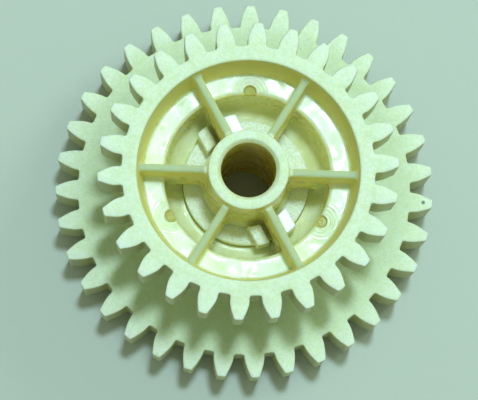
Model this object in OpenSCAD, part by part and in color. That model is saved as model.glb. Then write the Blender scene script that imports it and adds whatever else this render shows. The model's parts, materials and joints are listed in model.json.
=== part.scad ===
// Two-stage spur gear for a printer-sized gear train, in two acetal mouldings.
// The rear moulding carries the large gear. The front moulding carries the small gear, its spoked
// cup and the hub with the shaft bore. The front hub runs in the rear bore. A ring on the rear gear
// comes up through the cup's floor. The lugs on it snap over that floor, which keeps the two
// together, and drive the spokes that lie between them.
// Millimetres. Origin on the bore axis at the face that the gear stands on, +Z towards the small gear.

/* [Teeth] */
// Module shared by both gears
tooth_module = 1; // [0.97:0.01:1.03]
// Pressure angle of both gears, in degrees
pressure_angle = 20; // [20:0.5:24]
// Teeth on the large rear gear
rear_teeth = 35; // [34:1:42]
// Teeth on the small front gear
front_teeth = 26; // [26:1:28]
// Direction of one rear tooth, in degrees from +X
rear_tooth_at = 90; // [0:0.1:360]
// Direction of one front tooth, in degrees from +X
front_tooth_at = 88; // [0:0.1:360]

/* [Heights] */
// Underside of the large gear above the face that the gear stands on
rear_lift = 0.5; // [0.3:0.1:0.8]
// Face width of the large gear
rear_face_w = 5; // [4.6:0.1:6]
// Open gap between the two toothed wheels
wheel_gap = 6; // [5.6:0.1:7]
// Face width of the small gear
front_face_w = 4.5; // [4.2:0.1:6]

/* [Bore and hub] */
// Diameter of the shaft bore
bore_d = 5.1; // [4:0.1:5.4]
// Chamfer at each mouth of the shaft bore
bore_chamfer = 0.35; // [0.2:0.05:0.4]
// Diameter of the front hub at its end face
hub_d = 7.5; // [7:0.1:7.7]
// Diameter of the stretch of the front hub that runs in the rear gear
journal_d = 7.9; // [7.8:0.1:8.1]
// Radial clearance between that stretch and the rear gear
running_gap = 0.05; // [0.02:0.01:0.1]
// How far the flange round the front hub stands out over that clearance
flange_w = 0.5; // [0.4:0.05:0.55]

/* [Front cup] */
// Radius of the inner edge of the toothed rim, at its face
rim_mouth_r = 10.35; // [10.2:0.05:10.6]
// Radius where the rim's inner wall meets the web
rim_foot_r = 9.76; // [9.6:0.02:10]
// Depth of the web below the face
web_depth = 3.4; // [3.2:0.1:3.8]
// Radius of the web's inner edge, where the cup wall starts
cup_mouth_r = 7.85; // [7.8:0.05:8.2]
// Outer radius of the neck that carries the small gear
neck_r = 9.05; // [8.9:0.05:9.4]
// Number of spokes
spokes = 6; // [6:2:6]
// Width of a spoke along its top
spoke_top_w = 0.75; // [0.6:0.05:0.8]
// Width of a spoke at its foot
spoke_foot_w = 0.95; // [0.85:0.05:1]
// Depth of the spokes' tops below the face
spoke_depth = 0.8; // [0.5:0.1:1.2]
// Diameter of the three round ejector marks on the web
mark_d = 1.2; // [0.8:0.1:1.4]

/* [Cup floor, ring and lugs] */
// Height of the cup floor's upper side above the large gear's face
floor_h = 2.5; // [2.2:0.1:2.6]
// Thickness of the cup floor
floor_t = 1.4; // [1:0.1:1.6]
// Width of the slope between the cup floor and the cup wall
floor_slope = 0.9; // [0.6:0.05:0.95]
// Height of the lug ring above the cup floor
ring_h = 1; // [0.8:0.1:1.1]
// Height of the lugs above the lug ring
lug_h = 1.6; // [1.2:0.1:1.8]
// Outer radius of the lug ring
ring_r = 6.05; // [5.9:0.05:6.1]
// Radius of the lugs' outer ends
lug_reach_r = 6.45; // [6.3:0.05:6.55]
// Width of the slot between two lugs
lug_slot_w = 1.76; // [1.6:0.02:2]
// Width of one lug
lug_w = 1.2; // [1:0.02:1.3]
// Direction of the spoke between the lugs, in degrees from +X
lug_at = 120; // [0:60:300]

/* [Hidden] */

$fn = 96;
slack = 0.1;      // axial play between the two mouldings
over = 1;         // how far a cutting solid runs past what it cuts

rear_base_z = rear_lift;
rear_top_z = rear_lift + rear_face_w;
front_base_z = rear_top_z + wheel_gap;
face_z = front_base_z + front_face_w;
web_z = face_z - web_depth;
spoke_top_z = face_z - spoke_depth;

neck_foot_z = rear_top_z + slack;
floor_z = rear_top_z + floor_h;
ring_z = floor_z + ring_h;
flange_z = ring_z + slack;      // underside of the hub flange and of the spokes above the ring
lug_z = ring_z + lug_h;
cup_foot_r = cup_mouth_r - 0.25;
spoke_step_r = lug_reach_r + 0.15; // inside this radius the spokes end above the lug ring

hub_foot_z = 0.2;
journal_r = journal_d / 2;
rear_bore_r = journal_r + running_gap;
flange_r = journal_r + flange_w;
lug_inner_r = flange_r + running_gap;
rear_bore_chamfer = 0.35;

rear_hub_r = 6.8;
rear_rim_inner_r = 14.6;
rear_web_t = 1.6;
rear_rib_w = 1;
rear_ribs = 6;
rear_rib_base_z = rear_base_z + 0.4;

mark_at_r = 8.12;
mark_depth = 0.3;
mark_at = [90, 210, 330];

ivory = [0.90, 0.89, 0.74];
ivory_deep = [0.84, 0.82, 0.62];

// Radii of a spur gear with a given number of teeth
function pitch_r(teeth) = tooth_module * teeth / 2;
function base_r(teeth) = pitch_r(teeth) * cos(pressure_angle);
function tip_r(teeth) = pitch_r(teeth) + tooth_module;
function root_r(teeth) = pitch_r(teeth) - 1.25 * tooth_module;

// Involute function and the half angle of a tooth at radius r, both in degrees
function inv(a) = tan(a) * 180 / PI - a;
function half_angle(teeth, r) =
    90 / teeth + inv(pressure_angle) - (r > base_r(teeth) ? inv(acos(base_r(teeth) / r)) : 0);

// Largest root fillet that ends below the base circle
function root_fillet(teeth) =
    min(0.2 * tooth_module, (pow(base_r(teeth), 2) - pow(root_r(teeth), 2)) / (2 * root_r(teeth)));

function at(r, a) = [r * cos(a), r * sin(a)];

// One side of a tooth centred on direction a, from the root to the tip. side is 1 or -1.
function flank(teeth, a, side) =
    let (
        fillet = root_fillet(teeth),
        foot = half_angle(teeth, base_r(teeth)),
        centre_r = root_r(teeth) + fillet,
        centre_a = foot + asin(fillet / centre_r),
        tip_round = 0.25 * tooth_module,
        last_r = tip_r(teeth) - tip_round,
        steps = 5
    )
    concat(
        [for (k = [0:2]) let (
            turn = 180 + (90 - centre_a + foot) * k / 2,
            p = at(centre_r, centre_a) + fillet * at(1, centre_a + turn)
        ) at(norm(p), a + side * atan2(p[1], p[0]))],
        [for (k = [0:steps]) let (r = base_r(teeth) + (last_r - base_r(teeth)) * k / steps)
            at(r, a + side * half_angle(teeth, r))],
        [at(tip_r(teeth), a + side * (half_angle(teeth, last_r) - tip_round / tip_r(teeth) * 180 / PI))]
    );

function reversed(list) = [for (i = [len(list) - 1:-1:0]) list[i]];

// Flat outline of a whole gear
module gear_outline(teeth, tooth_at) {
    polygon([for (i = [0:teeth - 1]) let (a = tooth_at + i * 360 / teeth)
        each concat(flank(teeth, a, -1), reversed(flank(teeth, a, 1)))]);
}

// Solid of revolution from a list of [radius, height] corners
module turned(profile) {
    rotate_extrude($fn = $fn) polygon(profile);
}

module ring(r_in, r_out, z0, z1) {
    turned([[r_in, z0], [r_out, z0], [r_out, z1], [r_in, z1]]);
}

// Box laid along +X from x0 to x1, between two heights and two offsets
module bar(x0, x1, y0, y1, z0, z1) {
    translate([x0, y0, z0]) cube([x1 - x0, y1 - y0, z1 - z0]);
}

// Radius of the cup wall and of the front hub at a height
function cup_r(z) = cup_foot_r + (cup_mouth_r - cup_foot_r) * (z - floor_z) / (web_z - floor_z);
function hub_r(z) = hub_d / 2 + (journal_r - hub_d / 2) * (face_z - z) / (face_z - ring_z);
function rim_r(z) = rim_foot_r + (rim_mouth_r - rim_foot_r) * (z - web_z) / (face_z - web_z);

// Toothed ring of the large gear
module rear_toothed_rim() {
    color(ivory) difference() {
        translate([0, 0, rear_base_z]) linear_extrude(rear_face_w) gear_outline(rear_teeth, rear_tooth_at);
        translate([0, 0, -over]) cylinder(r = rear_rim_inner_r, h = rear_top_z + 2 * over);
    }
}

// Flat plate that joins the large toothed ring to its hub, flush with the upper face
module rear_web() {
    color(ivory) ring(rear_hub_r, rear_rim_inner_r, rear_top_z - rear_web_t, rear_top_z);
}

// Radial ribs under the plate
module rear_stiffening_ribs() {
    color(ivory_deep) for (i = [0:rear_ribs - 1]) rotate(i * 360 / rear_ribs + 180 / rear_ribs)
        intersection() {
            bar(rear_hub_r - over, rear_rim_inner_r + over, -rear_rib_w / 2, rear_rib_w / 2,
                rear_rib_base_z, rear_top_z - rear_web_t);
            ring(rear_hub_r, rear_rim_inner_r, 0, rear_top_z);
        }
}

// Hub of the large gear, with the bore that the front hub runs in
module rear_hub() {
    color(ivory) turned([
        [rear_bore_r + rear_bore_chamfer, 0], [rear_hub_r - 0.2, 0], [rear_hub_r, 0.2],
        [rear_hub_r, rear_top_z], [rear_bore_r, rear_top_z], [rear_bore_r, rear_bore_chamfer]
    ]);
}

// Ring on the large gear that comes up through the cup's floor
module rear_lug_ring() {
    color(ivory) ring(rear_bore_r, ring_r, rear_top_z, ring_z);
}

// Four lugs on the ring, in two pairs. The slot between the lugs of a pair takes one spoke, and
// their ends reach over the edge of the cup's floor.
module rear_drive_lugs() {
    inner = lug_slot_w / 2;
    color(ivory) rotate(lug_at) intersection() {
        turned([
            [lug_inner_r, ring_z], [ring_r, ring_z], [ring_r, floor_z + slack],
            [lug_reach_r, floor_z + slack], [lug_reach_r, lug_z], [lug_inner_r, lug_z]
        ]);
        for (side = [0, 1]) mirror([0, side, 0])
            bar(-lug_reach_r, lug_reach_r, inner, inner + lug_w, floor_z, lug_z);
    }
}

// Toothed ring of the small gear, with its drafted inner wall
module front_toothed_rim() {
    color(ivory) difference() {
        translate([0, 0, front_base_z]) linear_extrude(front_face_w)
            gear_outline(front_teeth, front_tooth_at);
        turned([
            [0, front_base_z - over], [rim_foot_r, front_base_z - over], [rim_foot_r, web_z],
            [rim_mouth_r, face_z], [rim_mouth_r, face_z + over], [0, face_z + over]
        ]);
    }
}

// Flat ledge inside the small gear, with three shallow ejector marks
module front_web() {
    color(ivory) difference() {
        turned([
            [cup_r(front_base_z), front_base_z], [rim_foot_r, front_base_z],
            [rim_foot_r, web_z], [cup_r(web_z), web_z]
        ]);
        for (a = mark_at) rotate(a) translate([mark_at_r, 0, web_z - mark_depth])
            cylinder(d = mark_d, h = mark_depth + over);
    }
}

// Wall of the cup, which carries the small gear above the large one
module front_neck() {
    color(ivory_deep) turned([
        [cup_foot_r, neck_foot_z], [neck_r, neck_foot_z], [neck_r, front_base_z],
        [cup_r(front_base_z), front_base_z], [cup_r(floor_z + floor_slope), floor_z + floor_slope],
        [cup_foot_r, floor_z]
    ]);
}

// Floor of the cup, with a slope up to the wall and a round hole for the lug ring
module front_cup_floor() {
    color(ivory_deep) turned([
        [ring_r + running_gap, floor_z - floor_t], [cup_foot_r, floor_z - floor_t],
        [cup_foot_r, floor_z], [cup_r(floor_z + floor_slope), floor_z + floor_slope],
        [cup_foot_r - floor_slope, floor_z], [ring_r + running_gap, floor_z]
    ]);
}

// Space inside the cup that the spokes fill, clear of the lug ring below
module spoke_space() {
    turned([
        [flange_r, flange_z], [hub_r(flange_z + flange_w), flange_z + flange_w],
        [hub_r(spoke_top_z), spoke_top_z], [rim_r(spoke_top_z), spoke_top_z], [rim_foot_r, web_z],
        [cup_mouth_r, web_z], [cup_r(floor_z + floor_slope), floor_z + floor_slope],
        [cup_foot_r - floor_slope, floor_z], [spoke_step_r, floor_z], [spoke_step_r, flange_z]
    ]);
}

// Thin drafted spokes from the hub to the toothed ring
module front_spokes() {
    color(ivory) intersection() {
        spoke_space();
        union() for (i = [0:spokes - 1]) rotate(i * 360 / spokes) rotate([90, 0, 90])
            linear_extrude(rim_mouth_r + over) polygon([
                [-spoke_foot_w / 2, floor_z], [spoke_foot_w / 2, floor_z],
                [spoke_top_w / 2, spoke_top_z], [-spoke_top_w / 2, spoke_top_z]
            ]);
    }
}

// Long hub with the shaft bore right through it and a flange over the lug ring's inner edge
module front_hub() {
    mouth_r = bore_d / 2 + bore_chamfer;
    color(ivory) difference() {
        turned([
            [0, hub_foot_z], [journal_r - 0.1, hub_foot_z], [journal_r, hub_foot_z + 0.1],
            [journal_r, flange_z], [flange_r, flange_z],
            [hub_r(flange_z + flange_w), flange_z + flange_w], [hub_d / 2, face_z], [0, face_z]
        ]);
        translate([0, 0, hub_foot_z - over]) cylinder(d = bore_d, h = face_z + 2 * over);
        turned([
            [0, hub_foot_z - over], [mouth_r, hub_foot_z - over], [mouth_r, hub_foot_z],
            [bore_d / 2, hub_foot_z + bore_chamfer], [0, hub_foot_z + bore_chamfer]
        ]);
        turned([
            [0, face_z - bore_chamfer], [bore_d / 2, face_z - bore_chamfer], [mouth_r, face_z],
            [mouth_r, face_z + over], [0, face_z + over]
        ]);
    }
}

rear_toothed_rim();
rear_web();
rear_stiffening_ribs();
rear_hub();
rear_lug_ring();
rear_drive_lugs();
front_toothed_rim();
front_web();
front_neck();
front_cup_floor();
front_spokes();
front_hub();
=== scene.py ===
"""Looks of the two-stage spur gear: two acetal mouldings on a pale floor under soft studio light.

Each moulding is one continuous mesh. Its shape is a signed distance field in millimetres, negative
inside the plastic, put together from turned, toothed and straight features with real fillets and
rounded edges, and then meshed. The sizes are those of the CAD solids that the meshes replace.
"""

import math

import bpy
import numpy as np
from mathutils import Matrix, Vector
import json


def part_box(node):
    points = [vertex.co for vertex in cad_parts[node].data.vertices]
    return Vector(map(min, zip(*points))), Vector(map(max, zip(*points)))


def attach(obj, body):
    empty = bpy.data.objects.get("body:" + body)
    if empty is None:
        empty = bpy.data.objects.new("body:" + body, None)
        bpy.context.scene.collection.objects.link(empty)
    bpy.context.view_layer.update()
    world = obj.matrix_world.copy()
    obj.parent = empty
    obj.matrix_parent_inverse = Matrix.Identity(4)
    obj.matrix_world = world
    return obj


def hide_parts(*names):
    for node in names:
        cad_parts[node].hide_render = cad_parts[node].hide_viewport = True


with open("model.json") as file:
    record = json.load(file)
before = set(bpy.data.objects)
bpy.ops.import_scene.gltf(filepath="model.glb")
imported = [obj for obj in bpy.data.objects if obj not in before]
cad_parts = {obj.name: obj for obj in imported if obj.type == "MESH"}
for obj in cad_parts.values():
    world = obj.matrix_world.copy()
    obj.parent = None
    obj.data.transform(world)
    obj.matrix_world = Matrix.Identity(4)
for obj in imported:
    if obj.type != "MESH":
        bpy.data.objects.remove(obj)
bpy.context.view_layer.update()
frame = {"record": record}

MM = 0.001
STEP = 0.1    # grid spacing of the fields, in mm
MAX_TRIANGLES = 190_000    # in one moulding


# ---------------------------------------------------------------- sizes, from the frame, in mm
def span(node, axis):
    """Lowest and highest coordinate of a CAD node along an axis, in mm."""
    low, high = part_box(node)
    return low[axis] / MM, high[axis] / MM


MODULE = 1.0
PRESSURE_ANGLE = math.radians(20)
REAR_TEETH, FRONT_TEETH = 35, 26
REAR_TOOTH_AT, FRONT_TOOTH_AT = math.radians(90), math.radians(88)

REAR_BASE, REAR_TOP = span("rear_toothed_rim", 2)
FRONT_BASE, FACE = span("front_toothed_rim", 2)
WEB = span("front_web", 2)[1]
NECK_FOOT = span("front_neck", 2)[0]
NECK_R = span("front_neck", 0)[1]
FLOOR_BASE = span("front_cup_floor", 2)[0]
SPOKE_TOP = span("front_spokes", 2)[1]
HUB_FOOT = span("front_hub", 2)[0]
FLANGE_R = span("front_hub", 0)[1]
RIB_BASE = span("rear_stiffening_ribs", 2)[0]
REAR_WEB_BASE = span("rear_web", 2)[0]
REAR_HUB_R = span("rear_hub", 0)[1]
REAR_RIM_R = span("rear_web", 0)[1]
RING_R, RING_TOP = span("rear_lug_ring", 0)[1], span("rear_lug_ring", 2)[1]
LUG_BASE, LUG_TOP = span("rear_drive_lugs", 2)

RIM_MOUTH_R, RIM_FOOT_R = 10.35, 9.76
CUP_MOUTH_R, CUP_FOOT_R = 7.85, 7.65
FLOOR_TOP, FLOOR_FILLET = LUG_BASE - 0.1, 1.5
HUB_TOP_R, JOURNAL_R = 3.75, 3.95
BORE_R, BORE_CHAMFER = 2.55, 0.35
REAR_BORE_R, RUNNING_GAP = JOURNAL_R + 0.05, 0.02
LUG_REACH_R, LUG_INNER_R, LUG_INNER, LUG_OUTER = 6.45, FLANGE_R + RUNNING_GAP, 0.88, 2.08
LUG_AT = math.radians(120)
SPOKES, REAR_RIBS = 6, 6
SPOKE_TOP_W, SPOKE_FOOT_W, REAR_RIB_W = 0.75, 0.95, 1.0
MARK_R, MARK_AT_R, MARK_DEPTH = 0.6, 8.12, 0.3
MARKS_AT = [math.radians(a) for a in (90, 210, 330)]
FRONT_CORE_R, REAR_CORE_R = 11.3, 15.8    # the turned parts end here, inside the toothed rings
LIFT = 0.1     # of the hub's flange and the spokes above the lug ring
SUNK = 0.3     # how far spokes and ribs run into what carries them


# ---------------------------------------------------------------- signed distance fields
def join(a, b, fillet):
    """Union of two fields, with a fillet of that radius where they meet."""
    if not fillet:
        return np.minimum(a, b)
    return np.maximum(fillet, np.minimum(a, b)) - np.hypot(np.maximum(fillet - a, 0),
                                                           np.maximum(fillet - b, 0))


def cut(a, b, edge):
    """Part of a that is also inside b, with the edge between their surfaces rounded."""
    if not edge:
        return np.maximum(a, b)
    return np.minimum(-edge, np.maximum(a, b)) + np.hypot(np.maximum(edge + a, 0),
                                                          np.maximum(edge + b, 0))


def outline_distance(x, y, corners, seams=()):
    """Signed distance from points to a closed outline. Seams are the edges that aren't surface."""
    nearest = np.full(np.broadcast(x, y).shape, np.inf)
    inside = np.zeros(nearest.shape, bool)
    for edge, ((x0, y0), (x1, y1)) in enumerate(zip(corners, corners[1:] + corners[:1])):
        ex, ey = x1 - x0, y1 - y0
        wx, wy = x - x0, y - y0
        if edge not in seams:
            t = np.clip((wx * ex + wy * ey) / (ex * ex + ey * ey), 0, 1)
            nearest = np.minimum(nearest, (wx - ex * t) ** 2 + (wy - ey * t) ** 2)
        if y0 != y1:
            inside ^= ((y0 <= y) != (y1 <= y)) & (wx < ex * wy / ey)
    return np.sqrt(nearest) * np.where(inside, -1, 1)


def rounded(corners, arc_points=6):
    """Outline with each (x, y, radius) corner replaced by an arc of that radius."""
    points = []
    for i, (x, y, radius) in enumerate(corners):
        here = Vector((x, y))
        before = (Vector(corners[i - 1][:2]) - here).normalized()
        after = (Vector(corners[(i + 1) % len(corners)][:2]) - here).normalized()
        if not radius:
            points.append((x, y))
            continue
        half = before.angle(after) / 2
        centre = here + (before + after).normalized() * (radius / math.sin(half))
        start = here + before * (radius / math.tan(half)) - centre
        end = here + after * (radius / math.tan(half)) - centre
        for k in range(arc_points + 1):
            points.append(tuple(centre + start.slerp(end, k / arc_points).normalized() * radius))
    return points


class Grid:
    """Points that the fields are worked out on, in mm."""

    def __init__(self, radius, z_low, z_high):
        margin = 3 * STEP
        side = np.arange(-radius - margin, radius + margin, STEP)
        self.low = np.array([side[0], side[0], z_low - margin])
        self.z = np.arange(z_low - margin, z_high + margin, STEP, dtype=np.float32)[None, None, :]
        x, y = np.meshgrid(side, side, indexing="ij")
        self.r = np.hypot(x, y)
        self.a = np.arctan2(y, x)

    def turned(self, corners):
        """Field of a solid of revolution from (radius, height, corner radius) corners."""
        radii = np.arange(0, self.r.max() + 2 * STEP, STEP / 2)
        table = outline_distance(radii[:, None], self.z[0].astype(float), rounded(corners))
        place = self.r / (STEP / 2)
        low = place.astype(int)
        share = (place - low)[..., None].astype(np.float32)
        table = table.astype(np.float32)
        return table[low] * (1 - share) + table[low + 1] * share

    def folded(self, count, first):
        """Coordinates along and across the nearest of count directions round the axis."""
        pitch = 2 * math.pi / count
        a = (self.a - first + pitch / 2) % pitch - pitch / 2
        return self.r * np.cos(a), self.r * np.sin(a)

    def slab(self, low, high):
        """Field of the space between two heights."""
        return np.abs(self.z - (low + high) / 2) - (high - low) / 2


def tooth_outline(teeth):
    """Half of one tooth pitch as an outline: x runs out along the tooth's centre line."""
    pitch_r = MODULE * teeth / 2
    base_r, root_r, tip_r = pitch_r * math.cos(PRESSURE_ANGLE), pitch_r - 1.25 * MODULE, pitch_r + MODULE

    def involute(angle):
        return math.tan(angle) - angle

    def half_angle(r):
        shift = involute(math.acos(base_r / r)) if r > base_r else 0
        return math.pi / 2 / teeth + involute(PRESSURE_ANGLE) - shift

    def at(r, a):
        return r * math.cos(a), r * math.sin(a)

    fillet = min(0.2 * MODULE, (base_r**2 - root_r**2) / (2 * root_r))
    foot = half_angle(base_r)
    centre_r = root_r + fillet
    centre_a = foot + math.asin(fillet / centre_r)
    cx, cy = at(centre_r, centre_a)
    points = [at(root_r - 1, 0), at(root_r - 1, math.pi / teeth)]
    points += [at(root_r, math.pi / teeth + (centre_a - math.pi / teeth) * k / 3) for k in range(4)]
    for k in range(1, 6):
        turn = centre_a + math.pi + (foot - centre_a + math.pi / 2) * k / 5
        points.append((cx + fillet * math.cos(turn), cy + fillet * math.sin(turn)))
    tip_round = 0.28 * MODULE
    last_r = tip_r - tip_round
    points += [at(r, half_angle(r)) for r in np.linspace(base_r, last_r, 9)[1:]]
    end = half_angle(last_r)
    for k in range(1, 5):
        turn = math.pi / 2 * k / 4
        points.append(at(last_r + tip_round * math.sin(turn),
                         end - tip_round / tip_r * (1 - math.cos(turn))))
    points.append((tip_r, 0))
    return points


def toothed(grid, teeth, first, low, high):
    """Field of a spur gear's toothed ring between two heights, open inside the root circle."""
    along, across = grid.folded(teeth, first)
    corners = tooth_outline(teeth)
    outline = outline_distance(along, np.abs(across), corners, (0, 1, len(corners) - 1))
    inner_r = MODULE * teeth / 2 - 2.25 * MODULE
    flat = np.where(grid.r < inner_r + 0.5, np.maximum(inner_r - grid.r, -0.5), outline)
    return cut(flat[..., None].astype(np.float32), grid.slab(low, high), 0.1)


# ---------------------------------------------------------------- field to mesh
def surface(field, low):
    """Quads of the field's zero surface, one vertex in each grid cell that it passes through."""
    solid = field < 0
    shape = np.array(field.shape)
    corner_steps = [np.array([i, j, k]) for i in (0, 1) for j in (0, 1) for k in (0, 1)]
    count = np.zeros(shape - 1, np.uint8)
    for i, j, k in corner_steps:
        count += solid[i:shape[0] - 1 + i, j:shape[1] - 1 + j, k:shape[2] - 1 + k]
    cells = np.argwhere((count > 0) & (count < 8))
    number = np.full(shape - 1, -1, np.int32)
    number[tuple(cells.T)] = np.arange(len(cells))

    total = np.zeros((len(cells), 3))
    crossings = np.zeros(len(cells))
    for a in corner_steps:
        for axis in range(3):
            if a[axis]:
                continue
            b = a + np.eye(3, dtype=int)[axis]
            fa, fb = field[tuple((cells + a).T)], field[tuple((cells + b).T)]
            crossed = (fa < 0) != (fb < 0)
            share = np.where(crossed, fa / np.where(crossed, fa - fb, 1), 0)
            total += crossed[:, None] * (a + (b - a) * share[:, None])
            crossings += crossed
    points = low + (cells + total / crossings[:, None]) * STEP

    quads = []
    for axis in range(3):
        u, v = np.eye(3, dtype=int)[(axis + 1) % 3], np.eye(3, dtype=int)[(axis + 2) % 3]
        first = [slice(None)] * 3
        second = [slice(None)] * 3
        first[axis], second[axis] = slice(0, -1), slice(1, None)
        here, there = solid[tuple(first)], solid[tuple(second)]
        edges = np.argwhere(here != there)
        ring = [number[tuple((edges - s).T)] for s in (0 * u, u, u + v, v)]
        faces = np.stack(ring, axis=1)
        leaving = here[tuple(edges.T)]
        faces[~leaving] = faces[~leaving][:, ::-1]
        quads.append(faces)
    return points, np.concatenate(quads)


def sampled(field, low, points):
    """Field at any points, between the grid's own."""
    place = np.clip((points - low) / STEP, 0, np.array(field.shape) - 1.001)
    cell = place.astype(int)
    share = place - cell
    value = np.zeros(len(points))
    for i in (0, 1):
        for j in (0, 1):
            for k in (0, 1):
                weight = np.prod(np.where((i, j, k), share, 1 - share), axis=1)
                value += weight * field[cell[:, 0] + i, cell[:, 1] + j, cell[:, 2] + k]
    return value


def slope(field, low, points):
    """Direction in which the field grows fastest, which is the surface's outward normal."""
    reach = 0.6 * STEP
    parts = [sampled(field, low, points + d) - sampled(field, low, points - d)
             for d in np.eye(3) * reach]
    normal = np.stack(parts, axis=1)
    return normal / np.maximum(np.linalg.norm(normal, axis=1, keepdims=True), 1e-9)


def moulding(name, field, low):
    """Mesh object of a field, thinned where it is flat, with normals taken from the field."""
    points, quads = surface(field, low)
    mesh = bpy.data.meshes.new(name)
    mesh.vertices.add(len(points))
    mesh.vertices.foreach_set("co", (points * MM).ravel())
    mesh.loops.add(quads.size)
    mesh.loops.foreach_set("vertex_index", quads.ravel())
    mesh.polygons.add(len(quads))
    mesh.polygons.foreach_set("loop_start", np.arange(0, quads.size, 4))
    mesh.update(calc_edges=True)
    mesh.validate()
    piece = bpy.data.objects.new(name, mesh)
    bpy.context.scene.collection.objects.link(piece)

    thin = piece.modifiers.new("thin", "DECIMATE")
    thin.ratio = min(1, MAX_TRIANGLES / (2 * len(quads)))
    final = bpy.data.meshes.new_from_object(piece.evaluated_get(bpy.context.evaluated_depsgraph_get()))
    piece.modifiers.clear()
    piece.data = final
    bpy.data.meshes.remove(mesh)
    final.name = name

    at = np.zeros(len(final.vertices) * 3)
    final.vertices.foreach_get("co", at)
    at = at.reshape(-1, 3) / MM
    for _ in range(2):
        at -= slope(field, low, at) * sampled(field, low, at)[:, None]
    final.vertices.foreach_set("co", (at * MM).ravel())
    final.polygons.foreach_set("use_smooth", np.ones(len(final.polygons), bool))
    final.normals_split_custom_set_from_vertices(slope(field, low, at))
    return piece, at


# ---------------------------------------------------------------- the two mouldings
def front_field(grid):
    """Small gear, cup, spokes and hub."""
    teeth = toothed(grid, FRONT_TEETH, FRONT_TOOTH_AT, FRONT_BASE, FACE)
    cup = grid.turned([
        (FRONT_CORE_R, FRONT_BASE, 0), (FRONT_CORE_R, FACE, 0), (RIM_MOUTH_R, FACE, 0.18),
        (RIM_FOOT_R, WEB, 0.2), (CUP_MOUTH_R, WEB, 0.35), (CUP_FOOT_R, FLOOR_TOP, FLOOR_FILLET),
        (RING_R + RUNNING_GAP, FLOOR_TOP, 0.04), (RING_R + RUNNING_GAP, FLOOR_BASE, 0.05),
        (CUP_FOOT_R, FLOOR_BASE, 0.1), (CUP_FOOT_R, NECK_FOOT, 0.08),
        (NECK_R, NECK_FOOT, 0.08), (NECK_R, FRONT_BASE, 0.3),
    ])
    hub = grid.turned([
        (BORE_R + BORE_CHAMFER, HUB_FOOT, 0.05), (JOURNAL_R - 0.1, HUB_FOOT, 0.05),
        (JOURNAL_R, HUB_FOOT + 0.2, 0.05), (JOURNAL_R, RING_TOP + LIFT, 0.02),
        (FLANGE_R, RING_TOP + LIFT, 0.02), (JOURNAL_R, RING_TOP + LIFT + 0.5, 0.4),
        (HUB_TOP_R, FACE, 0.1), (BORE_R + BORE_CHAMFER, FACE, 0.06),
        (BORE_R, FACE - BORE_CHAMFER, 0.06), (BORE_R, HUB_FOOT + BORE_CHAMFER, 0.06),
    ])
    body = np.minimum(np.minimum(teeth, cup), hub)

    _, across = grid.folded(SPOKES, 0)
    share = (grid.z - FLOOR_TOP) / (SPOKE_TOP - FLOOR_TOP)
    half_w = (SPOKE_FOOT_W + (SPOKE_TOP_W - SPOKE_FOOT_W) * share) / 2
    bars = cut(np.abs(across)[..., None].astype(np.float32) - half_w, grid.z - SPOKE_TOP, 0.25)
    space = grid.turned([
        (HUB_TOP_R - SUNK, RING_TOP + LIFT, 0), (HUB_TOP_R - SUNK, SPOKE_TOP + 1, 0),
        (RIM_MOUTH_R + SUNK, SPOKE_TOP + 1, 0), (RIM_FOOT_R + SUNK, WEB - SUNK, 0),
        (CUP_MOUTH_R + SUNK, WEB - SUNK, 0), (CUP_FOOT_R + SUNK, FLOOR_TOP - SUNK, 0),
        (LUG_REACH_R + 0.15, FLOOR_TOP - SUNK, 0), (LUG_REACH_R + 0.15, RING_TOP + LIFT, 0),
    ])
    body = join(body, cut(bars, space, 0.05), 0.3)

    along, across = grid.folded(len(MARKS_AT), MARKS_AT[0])
    disc = np.hypot(along - MARK_AT_R, across)[..., None].astype(np.float32) - MARK_R
    mark = np.maximum(disc, grid.slab(WEB - MARK_DEPTH, WEB + 1))
    return cut(body, -mark, 0.05)


def rear_field(grid):
    """Large gear, its hub, and the lugs on their ring."""
    teeth = toothed(grid, REAR_TEETH, REAR_TOOTH_AT, REAR_BASE, REAR_TOP)
    wheel = grid.turned([
        (REAR_CORE_R, REAR_BASE, 0), (REAR_CORE_R, REAR_TOP, 0),
        (RING_R, REAR_TOP, 0.1), (RING_R, RING_TOP, 0.05),
        (REAR_BORE_R, RING_TOP, 0.05), (REAR_BORE_R, 0.35, 0.05), (REAR_BORE_R + 0.35, 0, 0.05),
        (REAR_HUB_R - 0.1, 0, 0.1),
        (REAR_HUB_R, REAR_WEB_BASE, 0.3), (REAR_RIM_R, REAR_WEB_BASE, 0.3), (REAR_RIM_R, REAR_BASE, 0.12),
    ])
    body = np.minimum(teeth, wheel)

    _, across = grid.folded(REAR_RIBS, math.pi / REAR_RIBS)
    ribs = cut(np.abs(across)[..., None].astype(np.float32) - REAR_RIB_W / 2, RIB_BASE - grid.z, 0.25)
    space = grid.turned([
        (REAR_HUB_R - SUNK, 0, 0), (REAR_RIM_R + SUNK, 0, 0),
        (REAR_RIM_R + SUNK, REAR_WEB_BASE + SUNK, 0), (REAR_HUB_R - SUNK, REAR_WEB_BASE + SUNK, 0),
    ])
    body = join(body, np.maximum(ribs, space), 0.25)

    across = np.abs(grid.r * np.sin(grid.a - LUG_AT))[..., None].astype(np.float32)
    bars = np.abs(across - (LUG_INNER + LUG_OUTER) / 2) - (LUG_OUTER - LUG_INNER) / 2
    reach = grid.turned([
        (LUG_INNER_R, LUG_BASE, 0), (LUG_REACH_R, LUG_BASE, 0.04),
        (LUG_REACH_R, LUG_TOP, 0.08), (LUG_INNER_R, LUG_TOP, 0.08),
    ])
    return join(body, cut(bars, reach, 0.07), 0.08)


front_grid = Grid(MODULE * (FRONT_TEETH / 2 + 1), HUB_FOOT, FACE)
front, front_at = moulding("front_moulding", front_field(front_grid), front_grid.low)
rear_grid = Grid(MODULE * (REAR_TEETH / 2 + 1), 0, LUG_TOP)
rear, rear_at = moulding("rear_moulding", rear_field(rear_grid), rear_grid.low)

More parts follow.
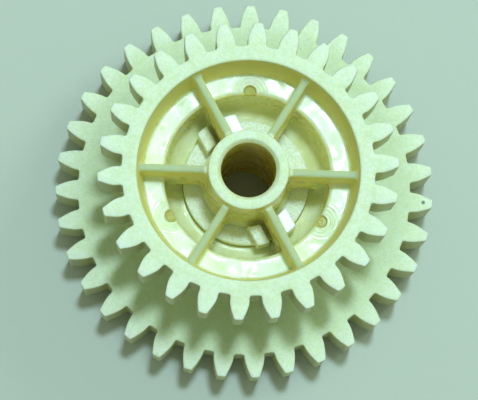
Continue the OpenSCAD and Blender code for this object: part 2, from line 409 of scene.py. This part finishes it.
for piece, body, slot in ((front, "front_gear", "acetal_gloss"), (rear, "rear_gear", "acetal_frosted")):
    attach(piece, body)
    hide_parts(*frame["record"]["behaviour"]["bodies"][body])


# ---------------------------------------------------------------- materials
class Paint:
    """Shorthand for building one material's nodes. Places are in mm, in the gear's own frame."""

    def __init__(self, name):
        self.material = bpy.data.materials.new(name)
        self.material.use_nodes = True
        self.tree = self.material.node_tree
        self.shader = self.tree.nodes["Principled BSDF"]
        scaled = self.tree.nodes.new("ShaderNodeVectorMath")
        scaled.operation = "SCALE"
        scaled.inputs["Scale"].default_value = 1 / MM
        self.wire(self.tree.nodes.new("ShaderNodeTexCoord").outputs["Object"], scaled.inputs[0])
        self.place = scaled.outputs[0]
        self.x, self.y, self.z = self.parts(self.place)
        self.r = self.math("SQRT", self.math("ADD", self.math("MULTIPLY", self.x, self.x),
                                             self.math("MULTIPLY", self.y, self.y)))
        self.up = self.parts(self.tree.nodes.new("ShaderNodeNewGeometry").outputs["Normal"])[2]

    def wire(self, source, socket):
        if isinstance(source, bpy.types.NodeSocket):
            self.tree.links.new(source, socket)
        else:
            socket.default_value = source

    def parts(self, vector):
        node = self.tree.nodes.new("ShaderNodeSeparateXYZ")
        self.wire(vector, node.inputs[0])
        return node.outputs

    def math(self, operation, a, b=0.0):
        node = self.tree.nodes.new("ShaderNodeMath")
        node.operation = operation
        self.wire(a, node.inputs[0])
        self.wire(b, node.inputs[1])
        return node.outputs[0]

    def ramp(self, value, low, high, start=0.0, end=1.0):
        """Smooth step from start, where the value is low, to end, where it is high."""
        node = self.tree.nodes.new("ShaderNodeMapRange")
        node.interpolation_type = "SMOOTHSTEP"
        for socket, source in zip(node.inputs, (value, low, high, start, end)):
            self.wire(source, socket)
        return node.outputs[0]

    def distance(self, r, a):
        """Distance from the upright line at that radius and angle."""
        dx = self.math("SUBTRACT", self.x, r * math.cos(a))
        dy = self.math("SUBTRACT", self.y, r * math.sin(a))
        return self.math("SQRT", self.math("ADD", self.math("MULTIPLY", dx, dx),
                                           self.math("MULTIPLY", dy, dy)))

    def noise(self, size, detail=2.0, stretch=(1, 1, 1)):
        """Noise from 0 to 1 with features of about that size in mm."""
        scaled = self.tree.nodes.new("ShaderNodeVectorMath")
        scaled.operation = "MULTIPLY"
        scaled.inputs[1].default_value = stretch
        self.wire(self.place, scaled.inputs[0])
        node = self.tree.nodes.new("ShaderNodeTexNoise")
        node.inputs["Scale"].default_value = 1 / size
        node.inputs["Detail"].default_value = detail
        self.wire(scaled.outputs[0], node.inputs["Vector"])
        return node.outputs["Fac"]

    def mix(self, share, a, b):
        node = self.tree.nodes.new("ShaderNodeMix")
        node.data_type = "RGBA"
        for socket, source in zip((node.inputs[0], node.inputs[6], node.inputs[7]), (share, a, b)):
            self.wire(source, socket)
        return node.outputs[2]

    def bump(self, height, depth, below=None):
        """Relief of that depth in mm, on top of an earlier one."""
        node = self.tree.nodes.new("ShaderNodeBump")
        node.inputs["Distance"].default_value = depth * MM
        self.wire(height, node.inputs["Height"])
        if below is not None:
            self.wire(below, node.inputs["Normal"])
        return node.outputs["Normal"]

    def finish(self, colour, roughness, normal):
        """Acetal: waxy and a little translucent, deeper in colour below its surface."""
        self.wire(colour, self.shader.inputs["Base Color"])
        self.wire(roughness, self.shader.inputs["Roughness"])
        self.wire(normal, self.shader.inputs["Normal"])
        self.shader.inputs["IOR"].default_value = 1.48
        self.shader.inputs["Subsurface Weight"].default_value = 0.7
        self.shader.inputs["Subsurface Radius"].default_value = (1.0, 0.85, 0.3)
        self.shader.inputs["Subsurface Scale"].default_value = 0.6 * MM
        return self.material


PALE = (0.78, 0.84, 0.58, 1)
CLEAN = (0.88, 0.94, 0.78, 1)
# painted shade: olive yellow for walls, side walls and the low parts of recesses
RECESS_AND_WALL_SHADE = (0.90, 0.79, 0.22, 1)
WORN = (0.94, 0.98, 0.94, 1)
SPOKE = (0.56, 0.62, 0.40, 1)
# painted shade for the large gear's plate
SHADED = (0.44, 0.52, 0.26, 1)
SPECK_R, SPECK_AT_R, SPECK_AT = 0.12, 17.57, math.radians(-2.3)    # dirt on one large tooth
# painted shade for side walls and tooth flanks
FLANK_SHADE = (0.56, 0.54, 0.26, 1)
# painted shade for the bore, olive yellow, and a reddish brown for bands in it
BORE_SHADE, BORE_BAND = (0.66, 0.58, 0.07, 1), (0.60, 0.22, 0.03, 1)
MARK = (0.56, 0.51, 0.12, 1)
DIRT = (0.08, 0.12, 0.07, 1)
PIT, PEAK = (0.80, 0.86, 0.60, 1), (0.97, 1.0, 0.94, 1)


def frosted():
    """Faces and teeth: fine frosting, whiter at the tooth ends, with painted shade on the side walls and
    on the large gear's plate under the small gear.
    """
    paint = Paint("acetal_frosted")
    cloud = paint.ramp(paint.noise(1.3, 4), 0.35, 0.65)
    grain = paint.noise(0.16, 3)
    speck = paint.ramp(grain, 0.5, 0.68)
    # 0 on the large gear and 1 on the small one, which have their tooth ends at different radii
    above = paint.ramp(paint.z, (REAR_TOP + FRONT_BASE) / 2 - 1, (REAR_TOP + FRONT_BASE) / 2 + 1)
    tip_r = paint.ramp(above, 0, 1, MODULE * (REAR_TEETH / 2 + 1), MODULE * (FRONT_TEETH / 2 + 1))
    inward = paint.math("SUBTRACT", tip_r, paint.r)
    tip = paint.ramp(inward, 0.1, 2.2, 1, 0)
    worn = paint.math("MULTIPLY", tip, paint.math("ADD", paint.math("MULTIPLY", speck, 0.5), 0.3))
    # painted shade: the side walls and tooth flanks are mixed towards a dark olive
    side = paint.ramp(paint.up, 0.35, 0.8, 0.85, 0)
    mottle = paint.math("ADD", paint.math("MULTIPLY", paint.ramp(paint.noise(0.3, 4), 0.38, 0.62), 0.6),
                        paint.math("MULTIPLY", cloud, 0.4))
    # painted shade on the large gear's plate under the small gear, stronger towards the middle
    plate = paint.math("MULTIPLY", paint.ramp(above, 0, 1, 0.42, 0),
                       paint.ramp(paint.r, MODULE * (REAR_TEETH / 2 - 3), MODULE * REAR_TEETH / 2, 1, 0.2))
    colour = paint.mix(worn, paint.mix(plate, paint.mix(mottle, PALE, CLEAN), SHADED), WORN)
    colour = paint.mix(side, colour, FLANK_SHADE)
    away = paint.distance(SPECK_AT_R, SPECK_AT)
    dirt = paint.math("MULTIPLY", paint.ramp(away, SPECK_R, SPECK_R + 0.12, 0.85, 0),
                      paint.ramp(above, 0, 1, 1, 0))
    colour = paint.mix(dirt, colour, DIRT)
    roughness = paint.ramp(speck, 0, 1, 0.50, 0.34)
    normal = paint.bump(grain, 0.03, paint.bump(paint.noise(2.5, 1), 0.05))
    return paint.finish(colour, roughness, normal)


def gloss():
    """Polished web, cup, spokes and hub, with ripples round the ejector marks, painted shade on the cup's
    walls and low parts, and painted shade in the bore with reddish-brown bands.
    """
    paint = Paint("acetal_gloss")
    cloud = paint.ramp(paint.noise(1.6, 3), 0.35, 0.65)
    # painted shade: the steep walls and the low parts of the cup are mixed towards olive yellow
    wall_shade = paint.ramp(paint.up, 0.25, 0.9, 0.85, 0)
    low = paint.ramp(paint.z, FLOOR_TOP, WEB, 0.5, 0)
    on_spoke = paint.math("MULTIPLY", paint.ramp(paint.z, WEB + 0.3, WEB + 0.6),
                          paint.ramp(paint.r, JOURNAL_R, JOURNAL_R + 0.3))
    flat = paint.mix(on_spoke, paint.mix(cloud, PALE, CLEAN), SPOKE)
    cup = paint.ramp(paint.r, RING_R, RING_R + 0.5, 1, paint.ramp(paint.z, WEB - 0.5, WEB, 0.55, 1))
    colour = paint.mix(paint.math("MULTIPLY", paint.math("MAXIMUM", wall_shade, low), cup), flat, RECESS_AND_WALL_SHADE)

    # painted shade in the bore, stronger deeper down, streaked with reddish-brown bands
    bands = paint.ramp(paint.noise(1.1, 3, (0.3, 0.3, 1.6)), 0.52, 0.62)
    bore_shade = paint.mix(bands, BORE_SHADE, BORE_BAND)
    in_bore = paint.math("MULTIPLY", paint.ramp(paint.r, BORE_R + 0.03, BORE_R + 0.1, 1, 0),
                         paint.ramp(paint.z, FACE - 3.5, FACE - 0.6, 1, 0.3))
    colour = paint.mix(in_bore, colour, bore_shade)

    nearest = None
    for a in MARKS_AT:
        away = paint.distance(MARK_AT_R, a)
        nearest = away if nearest is None else paint.math("MINIMUM", nearest, away)
    on_mark = paint.math("MULTIPLY", paint.ramp(nearest, MARK_R - 0.05, MARK_R + 0.05, 1, 0),
                         paint.ramp(paint.z, WEB - 0.6, WEB - 0.4))
    colour = paint.mix(on_mark, colour, MARK)
    uneven = paint.math("ADD", nearest, paint.math("MULTIPLY", paint.noise(1.5, 2), 0.35))
    wave = paint.math("SINE", paint.math("MULTIPLY", uneven, 2 * math.pi / 0.36))
    ripple = paint.math("MULTIPLY", wave, paint.math("MULTIPLY", paint.ramp(nearest, 0.8, 2.1, 1, 0),
                                                     paint.ramp(paint.up, 0.9, 0.99)))
    normal = paint.bump(paint.noise(2.4, 1), 0.22, paint.bump(ripple, 0.02))
    normal = paint.bump(paint.noise(0.25, 2), 0.004, normal)
    roughness = paint.ramp(on_spoke, 0, 1, paint.ramp(cloud, 0, 1, 0.18, 0.36), 0.6)
    return paint.finish(colour, roughness, normal)


def grained():
    """Coarse spark-eroded grain of the lug ring, with painted shade on its side walls and a painted
    highlight on two lug tops.
    """
    paint = Paint("acetal_grained")
    grain = paint.noise(0.2, 3)
    pits = paint.ramp(grain, 0.4, 0.6)
    colour = paint.mix(pits, PIT, PEAK)
    # painted shade: the side walls of the ring and lugs are mixed towards olive yellow
    colour = paint.mix(paint.ramp(paint.up, 0.3, 0.8, 0.4, 0), colour, RECESS_AND_WALL_SHADE)
    # painted highlight: the tops of the two lugs on one side of the spoke are painted white, and made
    # smoother
    across = paint.math("ADD", paint.math("MULTIPLY", paint.x, math.sin(LUG_AT)),
                        paint.math("MULTIPLY", paint.y, -math.cos(LUG_AT)))
    glinting_lug_tops = paint.math("MULTIPLY", paint.ramp(across, LUG_INNER - 0.2, LUG_INNER),
                        paint.ramp(paint.z, LUG_TOP - 0.2, LUG_TOP - 0.1))
    colour = paint.mix(glinting_lug_tops, colour, (1, 1, 1, 1))
    roughness = paint.ramp(glinting_lug_tops, 0, 1, paint.ramp(pits, 0, 1, 0.5, 0.26), 0.22)
    height = paint.math("MULTIPLY", grain, paint.ramp(glinting_lug_tops, 0, 1, 1, 0.5))
    return paint.finish(colour, roughness, paint.bump(height, 0.055))


def zones(piece, at, materials, zone_of):
    """Give each face the material of the zone that its middle lies in."""
    mesh = piece.data
    for material in materials:
        mesh.materials.append(material)
    corners = np.zeros(len(mesh.loops), np.int32)
    mesh.loops.foreach_get("vertex_index", corners)
    starts = np.zeros(len(mesh.polygons), np.int32)
    mesh.polygons.foreach_get("loop_start", starts)
    middle = np.add.reduceat(at[corners], starts) / np.diff(np.append(starts, len(corners)))[:, None]
    mesh.polygons.foreach_set("material_index",
                              zone_of(np.hypot(middle[:, 0], middle[:, 1]), middle[:, 2]).astype(np.int32))


def front_zone(r, z):
    """Frosted toothed rim and hub end face, polished elsewhere."""
    hub_end = (z > FACE - 0.06) & (r < HUB_TOP_R) & (r > BORE_R + 0.3)
    return np.where((r > RIM_MOUTH_R - 0.03) | hub_end, FROSTED, GLOSS)


def rear_zone(r, z):
    """Grained lug ring and lugs, frosted elsewhere."""
    return np.where((r < LUG_REACH_R + 0.1) & (z > FLOOR_BASE), GRAINED, FROSTED)


finishes = [frosted(), gloss(), grained()]
FROSTED, GLOSS, GRAINED = range(3)
zones(front, front_at, finishes, front_zone)
zones(rear, rear_at, finishes, rear_zone)


# ---------------------------------------------------------------- camera, floor and light
CAMERA_AZIMUTH = math.radians(-9.6)
CAMERA_TILT = math.radians(9.61)      # from straight down
CAMERA_ROLL = math.radians(11.63)
CAMERA_AWAY = 183.38                  # mm from the plane of the large gear's upper face
CAMERA_ASIDE = (-0.547, -1.117)       # mm, across and up the picture
FOCAL = 141.18                        # mm, on a 36 mm sensor

turn = (Matrix.Rotation(CAMERA_AZIMUTH, 4, "Z") @ Matrix.Rotation(CAMERA_TILT, 4, "X")
        @ Matrix.Rotation(CAMERA_ROLL, 4, "Z"))
camera_data = bpy.data.cameras.new("camera")
camera_data.lens = FOCAL
camera_data.sensor_width = 36
camera = bpy.data.objects.new("camera", camera_data)
camera.matrix_world = (Matrix.Translation((0, 0, REAR_TOP * MM)) @ turn
                       @ Matrix.Translation(Vector((*CAMERA_ASIDE, CAMERA_AWAY)) * MM))
bpy.context.scene.collection.objects.link(camera)
bpy.context.scene.camera = camera

floor_mesh = bpy.data.meshes.new("floor")
half, drop = 2.0, -0.02 * MM    # half its width, and its height just under the gear
floor_mesh.from_pydata([(x, y, drop) for x, y in ((-half, -half), (half, -half), (half, half),
                                                  (-half, half))], [], [(0, 1, 2, 3)])
floor = bpy.data.objects.new("floor", floor_mesh)
bpy.context.scene.collection.objects.link(floor)
sweep = bpy.data.materials.new("floor")
sweep.use_nodes = True
sweep.node_tree.nodes["Principled BSDF"].inputs["Base Color"].default_value = (0.62, 0.64, 0.62, 1)
sweep.node_tree.nodes["Principled BSDF"].inputs["Roughness"].default_value = 0.9
floor_mesh.materials.append(sweep)


def lamp(name, place, aim, size, watts, colour):
    """Round softbox at a place, in metres, turned to a point."""
    data = bpy.data.lights.new(name, "AREA")
    data.shape = "DISK"
    data.size, data.energy, data.color = size, watts, colour
    light = bpy.data.objects.new(name, data)
    light.location = place
    light.rotation_euler = (Vector(aim) - Vector(place)).to_track_quat("-Z", "Y").to_euler()
    bpy.context.scene.collection.objects.link(light)


# The key light is where the upper right of the polished web mirrors it into the camera.
glint = Vector((6.5, 9.0, WEB)) * MM
seen_from = camera.matrix_world.translation
key_way = Vector((glint.x - seen_from.x, glint.y - seen_from.y, seen_from.z - glint.z)).normalized()
lamp("key", glint + key_way * 0.5, glint, 0.07, 1.40, (0.66, 0.94, 1.0))
lamp("side", (0.30, 0.22, 0.30), (0, 0, 0.01), 0.2, 0.45, (0.75, 1.0, 0.80))

# Soft light from above, which fades towards the horizon
world = bpy.data.worlds.new("world")
world.use_nodes = True
nodes, links = world.node_tree.nodes, world.node_tree.links
height = nodes.new("ShaderNodeSeparateXYZ")
fade = nodes.new("ShaderNodeMapRange")
fade.inputs["From Max"].default_value = 0.8
fade.inputs["To Min"].default_value = 0.08
fade.inputs["To Max"].default_value = 0.47
links.new(nodes.new("ShaderNodeTexCoord").outputs["Generated"], height.inputs[0])
links.new(height.outputs["Z"], fade.inputs["Value"])
links.new(fade.outputs[0], nodes["Background"].inputs["Strength"])
nodes["Background"].inputs["Color"].default_value = (0.72, 0.94, 0.62, 1)
bpy.context.scene.world = world
bpy.context.scene.view_settings.view_transform = "Standard"
